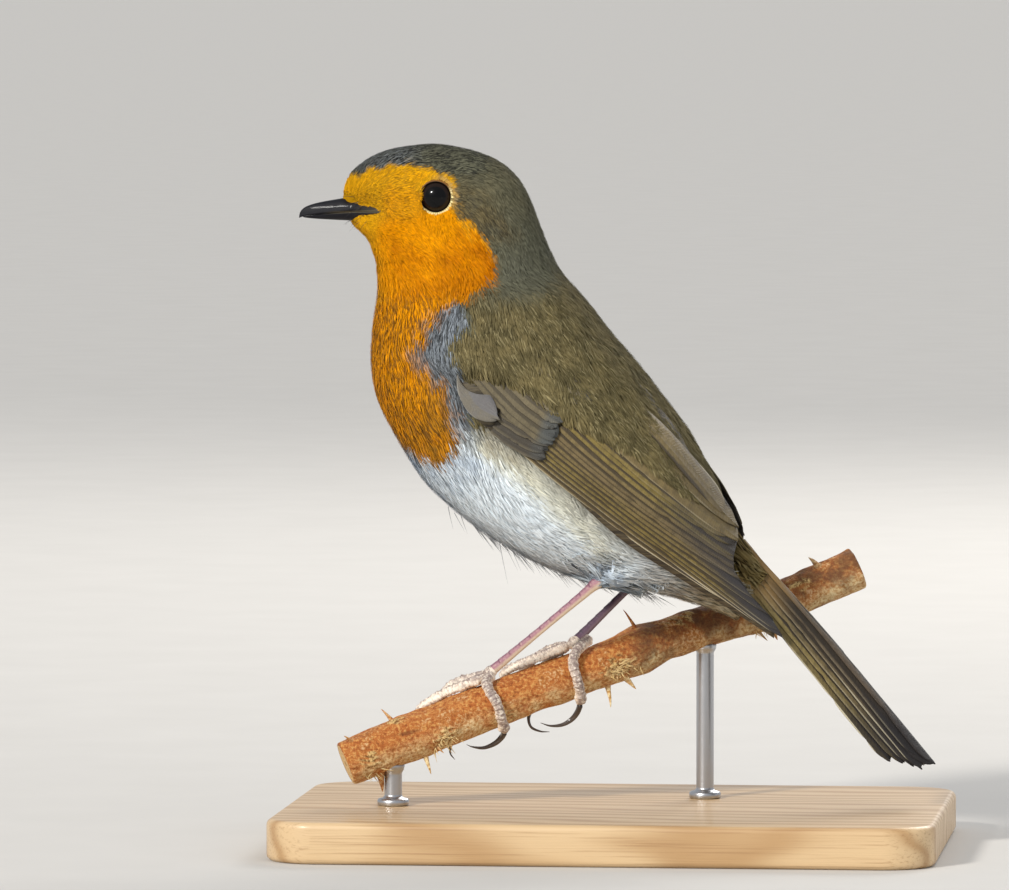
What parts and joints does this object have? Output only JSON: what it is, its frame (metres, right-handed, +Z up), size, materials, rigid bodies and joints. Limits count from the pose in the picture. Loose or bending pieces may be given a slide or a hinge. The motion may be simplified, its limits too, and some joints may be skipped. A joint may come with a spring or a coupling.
{
  "type": "robin",
  "caption": "Life-size European robin with an orange face and breast, perched on a cut length of thorny branch that two short rods hold above a flat display base.",
  "frame": {"origin": "middle of the underside of the stand's base", "axes": "+Z up; the bird faces -X, its left side towards -Y; the branch rises towards +X and leans away towards +Y"},
  "size_m": [0.112, 0.078, 0.1196],
  "materials": {
    "plumage": "soft matt body feathers: orange face and breast, blue-grey edging, olive-brown back, white belly",
    "wing_feathers": "smooth brown flight feathers with olive outer edges",
    "tail_feathers": "smooth dark brown tail feathers with olive edges",
    "bill_horn": "slightly glossy blackish horn",
    "eye": "wet, glossy, very dark brown",
    "leg_skin": "scaly, pinkish brown on the shanks and greyish on the toes",
    "claw_horn": "smooth dark brown horn",
    "bark": "rough orange-brown bark with pale scars",
    "stand_wood": "planed pale ash under a satin varnish",
    "stand_steel": "brushed"
  },
  "bodies": {
    "root": {"head": "plumage", "neck": "plumage", "trunk": "plumage", "thigh_left": "plumage", "thigh_right": "plumage", "wing_left": "wing_feathers", "wing_right": "wing_feathers", "tail": "tail_feathers", "bill_upper": "bill_horn", "bill_lower": "bill_horn", "eye_left": "eye", "eye_right": "eye", "tarsus_left": "leg_skin", "tarsus_right": "leg_skin", "foot_left": "leg_skin", "foot_right": "leg_skin", "claw_left_1": "claw_horn", "claw_left_2": "claw_horn", "claw_left_3": "claw_horn", "claw_left_4": "claw_horn", "claw_right_1": "claw_horn", "claw_right_2": "claw_horn", "claw_right_3": "claw_horn", "claw_right_4": "claw_horn", "perch": "bark", "stand_base": "stand_wood", "stand_rod_1": "stand_steel", "stand_rod_2": "stand_steel"}
  },
  "joints": []
}
